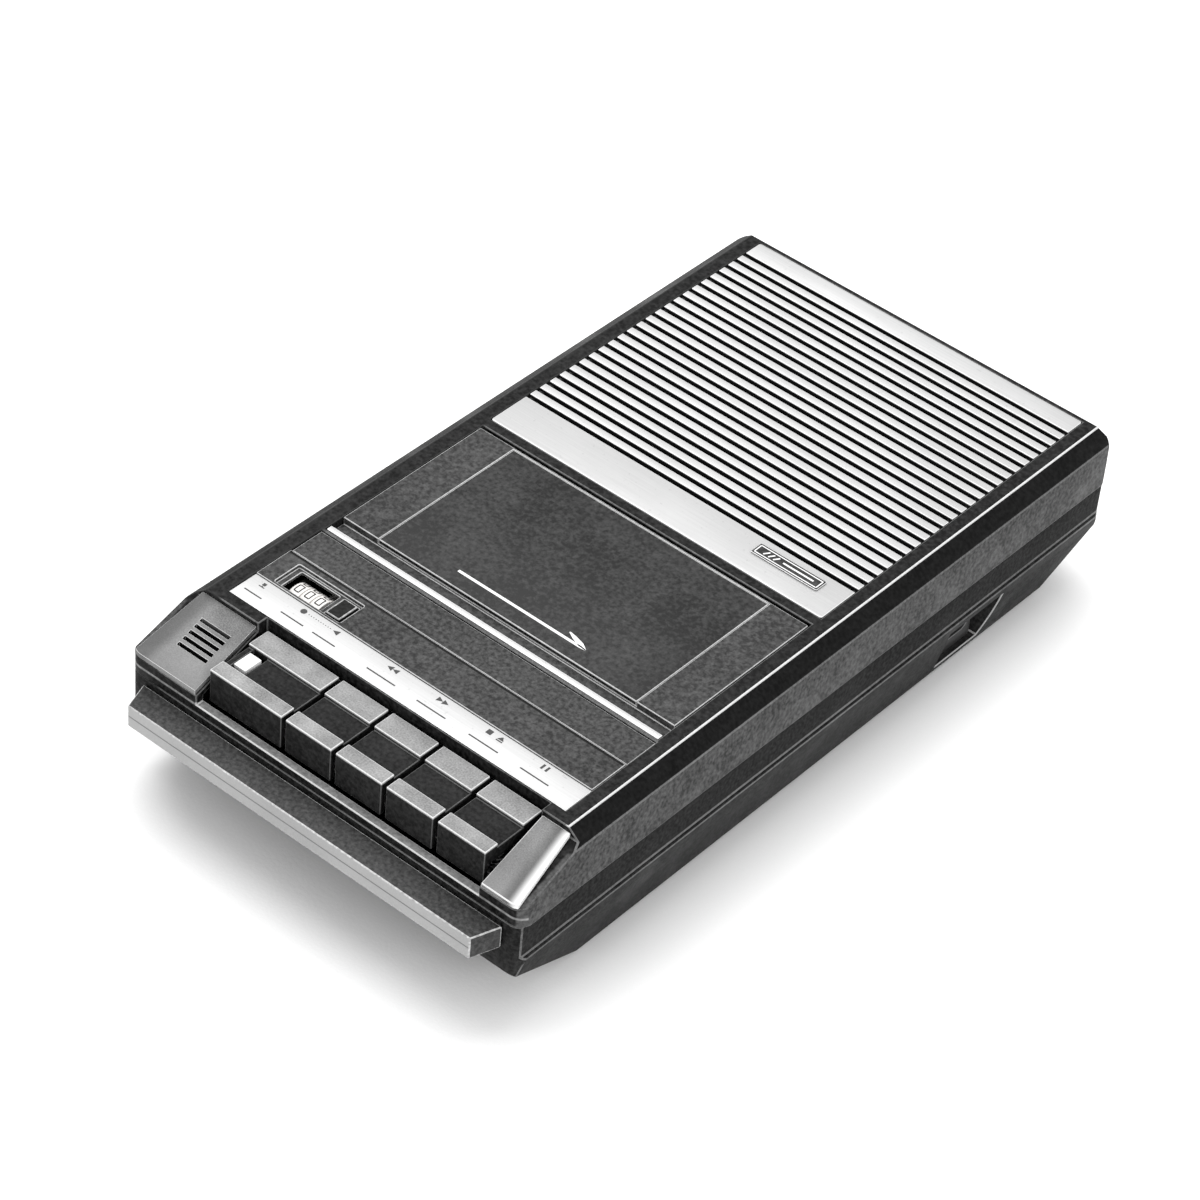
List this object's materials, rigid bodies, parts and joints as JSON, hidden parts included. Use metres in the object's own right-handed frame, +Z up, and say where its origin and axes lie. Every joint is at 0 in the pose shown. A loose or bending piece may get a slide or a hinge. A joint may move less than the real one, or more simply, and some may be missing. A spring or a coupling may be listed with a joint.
{
  "type": "cassette recorder",
  "caption": "Slim table cassette recorder with piano keys, hinged lid over the cassette bay, tape counter, louvred speaker and slide-out handle.",
  "frame": {"origin": "centre of the footprint, at the underside of the rubber feet", "axes": "+X to the right seen from the keys, +Y from the keys to the speaker end, +Z up"},
  "size_m": [0.1458, 0.276, 0.0535],
  "materials": {
    "cabinet_black": "fine-grained black moulding",
    "panel_grey": "dark grey satin moulding",
    "silver_panel": "silver lacquer, satin",
    "light_caps": "light grey metallic paint",
    "key_grey": "grey key moulding with painted lips",
    "button_white": "white record mark",
    "bright_trim": "bright foil strip",
    "smoked_window": "smoked acrylic",
    "steel": "zinc plated steel",
    "brass": "turned brass",
    "rubber": "black rubber",
    "white_plastic": "white acetal",
    "black_plastic": "black moulding",
    "cone_paper": "black paper pulp",
    "magnet": "ferrite",
    "board": "brown phenolic laminate",
    "transformer_core": "varnished laminations"
  },
  "bodies": {
    "cabinet": {"upper_cabinet": "cabinet_black", "lower_cabinet": "cabinet_black", "grille": "silver_panel", "speaker_cloth": "cabinet_black", "front_panel": "panel_grey", "label_strip": "silver_panel", "cap_left": "light_caps", "cap_right": "light_caps", "badge_plate": "panel_grey", "hinge_pins": "steel", "door_spring": "steel", "cassette_well": "cabinet_black", "key_shaft": "steel", "key_bracket": "steel", "key_springs": "steel", "chassis": "steel", "capstan_bearing": "brass", "flywheel_bracket": "steel", "motor": "steel", "belts": "rubber", "counter_frame": "cabinet_black", "speaker_frame": "steel", "speaker_cone": "cone_paper", "speaker_magnet": "magnet", "circuit_board": "board", "board_parts": "black_plastic", "transformer": "transformer_core", "jack_sockets": "cabinet_black", "mic_capsule": "rubber", "ac_inlet": "black_plastic", "battery_contacts": "steel", "feet": "rubber", "screws": "steel"},
    "door": {"door_frame": "panel_grey", "door_window": "smoked_window", "door_stripe": "bright_trim", "cassette_holder": "steel"},
    "play": {"key_play": "key_grey"},
    "rewind": {"key_rewind": "key_grey"},
    "forward": {"key_forward": "key_grey"},
    "stop": {"key_stop": "key_grey"},
    "pause": {"key_pause": "key_grey"},
    "record": {"record_button": "button_white"},
    "latch": {"latch_plate": "steel"},
    "bridge": {"head_bridge": "steel", "tape_heads": "steel", "pinch_arm": "steel"},
    "roller": {"pinch_roller": "rubber"},
    "wheel": {"flywheel": "brass"},
    "pulley": {"motor_pulley": "brass"},
    "supply": {"supply_spindle": "white_plastic"},
    "takeup": {"takeup_spindle": "white_plastic"},
    "drum_ones": {"counter_drum_ones": "white_plastic"},
    "drum_tens": {"counter_drum_tens": "white_plastic"},
    "drum_hundreds": {"counter_drum_hundreds": "white_plastic"},
    "worm": {"counter_pulley": "white_plastic"},
    "reset": {"reset_button": "black_plastic"},
    "volume": {"volume_wheel": "black_plastic"},
    "battery_door": {"battery_cover": "cabinet_black"},
    "carry_handle": {"handle": "panel_grey"}
  },
  "joints": [
    {"name": "door_hinge", "type": "hinge", "parent": "cabinet", "child": "door", "pos_m": [0, 0.0022, 0.0509], "axis": [-1, 0, 0], "range_deg": [0, 48]},
    {"name": "play_key", "type": "hinge", "parent": "cabinet", "child": "play", "pos_m": [0, -0.095, 0.04], "axis": [1, 0, 0], "range_deg": [0, 9], "deforming": ["key_springs"]},
    {"name": "rewind_key", "type": "hinge", "parent": "cabinet", "child": "rewind", "pos_m": [0, -0.095, 0.04], "axis": [1, 0, 0], "range_deg": [0, 9], "stiffness_Nm_per_rad": 0.35, "springref_deg": -5.73},
    {"name": "forward_key", "type": "hinge", "parent": "cabinet", "child": "forward", "pos_m": [0, -0.095, 0.04], "axis": [1, 0, 0], "range_deg": [0, 9], "stiffness_Nm_per_rad": 0.35, "springref_deg": -5.73},
    {"name": "stop_key", "type": "hinge", "parent": "cabinet", "child": "stop", "pos_m": [0, -0.095, 0.04], "axis": [1, 0, 0], "range_deg": [0, 9], "stiffness_Nm_per_rad": 0.35, "springref_deg": -5.73},
    {"name": "pause_key", "type": "hinge", "parent": "cabinet", "child": "pause", "pos_m": [0, -0.095, 0.04], "axis": [1, 0, 0], "range_deg": [0, 9], "stiffness_Nm_per_rad": 0.35, "springref_deg": -5.73},
    {"name": "record_key", "type": "hinge", "parent": "cabinet", "child": "record", "pos_m": [0, -0.095, 0.04], "axis": [1, 0, 0], "range_deg": [0, 9], "stiffness_Nm_per_rad": 0.25, "springref_deg": -5.73},
    {"name": "latch_slide", "type": "slide", "parent": "cabinet", "child": "latch", "axis": [1, 0, 0], "range_m": [-0.0015, 0.0015], "stiffness_N_per_m": 120},
    {"name": "bridge_slide", "type": "slide", "parent": "cabinet", "child": "bridge", "axis": [0, 1, 0], "range_m": [0, 0.007], "stiffness_N_per_m": 180, "springref_m": -0.0045},
    {"name": "roller_spin", "type": "hinge", "parent": "bridge", "child": "roller", "pos_m": [0.0295, -0.0658, 0.044], "axis": [0, 0, 1], "continuous": true},
    {"name": "flywheel_spin", "type": "hinge", "parent": "cabinet", "child": "wheel", "pos_m": [0.0295, -0.0513, 0.023], "axis": [0, 0, 1], "continuous": true},
    {"name": "motor_spin", "type": "hinge", "parent": "cabinet", "child": "pulley", "pos_m": [-0.036, -0.046, 0.024], "axis": [0, 0, 1], "continuous": true},
    {"name": "supply_spin", "type": "hinge", "parent": "cabinet", "child": "supply", "pos_m": [-0.02125, -0.0275, 0.031], "axis": [0, 0, 1], "continuous": true},
    {"name": "takeup_spin", "type": "hinge", "parent": "cabinet", "child": "takeup", "pos_m": [0.02125, -0.0275, 0.031], "axis": [0, 0, 1], "continuous": true},
    {"name": "worm_spin", "type": "hinge", "parent": "cabinet", "child": "worm", "pos_m": [-0.047, -0.0724, 0.036], "axis": [0, 0, 1], "continuous": true},
    {"name": "drum_ones_spin", "type": "hinge", "parent": "cabinet", "child": "drum_ones", "pos_m": [-0.0462, -0.0833, 0.044], "axis": [1, 0, 0], "continuous": true},
    {"name": "drum_tens_spin", "type": "hinge", "parent": "cabinet", "child": "drum_tens", "pos_m": [-0.0462, -0.0833, 0.044], "axis": [1, 0, 0], "continuous": true},
    {"name": "drum_hundreds_spin", "type": "hinge", "parent": "cabinet", "child": "drum_hundreds", "pos_m": [-0.0462, -0.0833, 0.044], "axis": [1, 0, 0], "continuous": true},
    {"name": "reset_press", "type": "slide", "parent": "cabinet", "child": "reset", "axis": [0, 0, -1], "range_m": [0, 0.0022], "stiffness_N_per_m": 150, "springref_m": -0.001},
    {"name": "volume_turn", "type": "hinge", "parent": "cabinet", "child": "volume", "pos_m": [-0.0585, 0.014, 0.031], "axis": [0, 0, 1], "range_deg": [0, 270]},
    {"name": "battery_hinge", "type": "hinge", "parent": "cabinet", "child": "battery_door", "pos_m": [0, 0.0622, 0.0028], "axis": [-1, 0, 0], "range_deg": [0, 90]},
    {"name": "handle_slide", "type": "slide", "parent": "cabinet", "child": "carry_handle", "axis": [0, -1, 0], "range_m": [0, 0.042]}
  ],
  "couplings": [
    {"joint": "play_key", "follows": "bridge_slide", "rad_per_m": 22.43},
    {"joint": "motor_spin", "follows": "flywheel_spin", "ratio": 7.4333},
    {"joint": "worm_spin", "follows": "supply_spin", "ratio": 2},
    {"joint": "drum_ones_spin", "follows": "supply_spin", "ratio": 0.5},
    {"joint": "drum_tens_spin", "follows": "supply_spin", "ratio": 0.05},
    {"joint": "drum_hundreds_spin", "follows": "supply_spin", "ratio": 0.005}
  ]
}
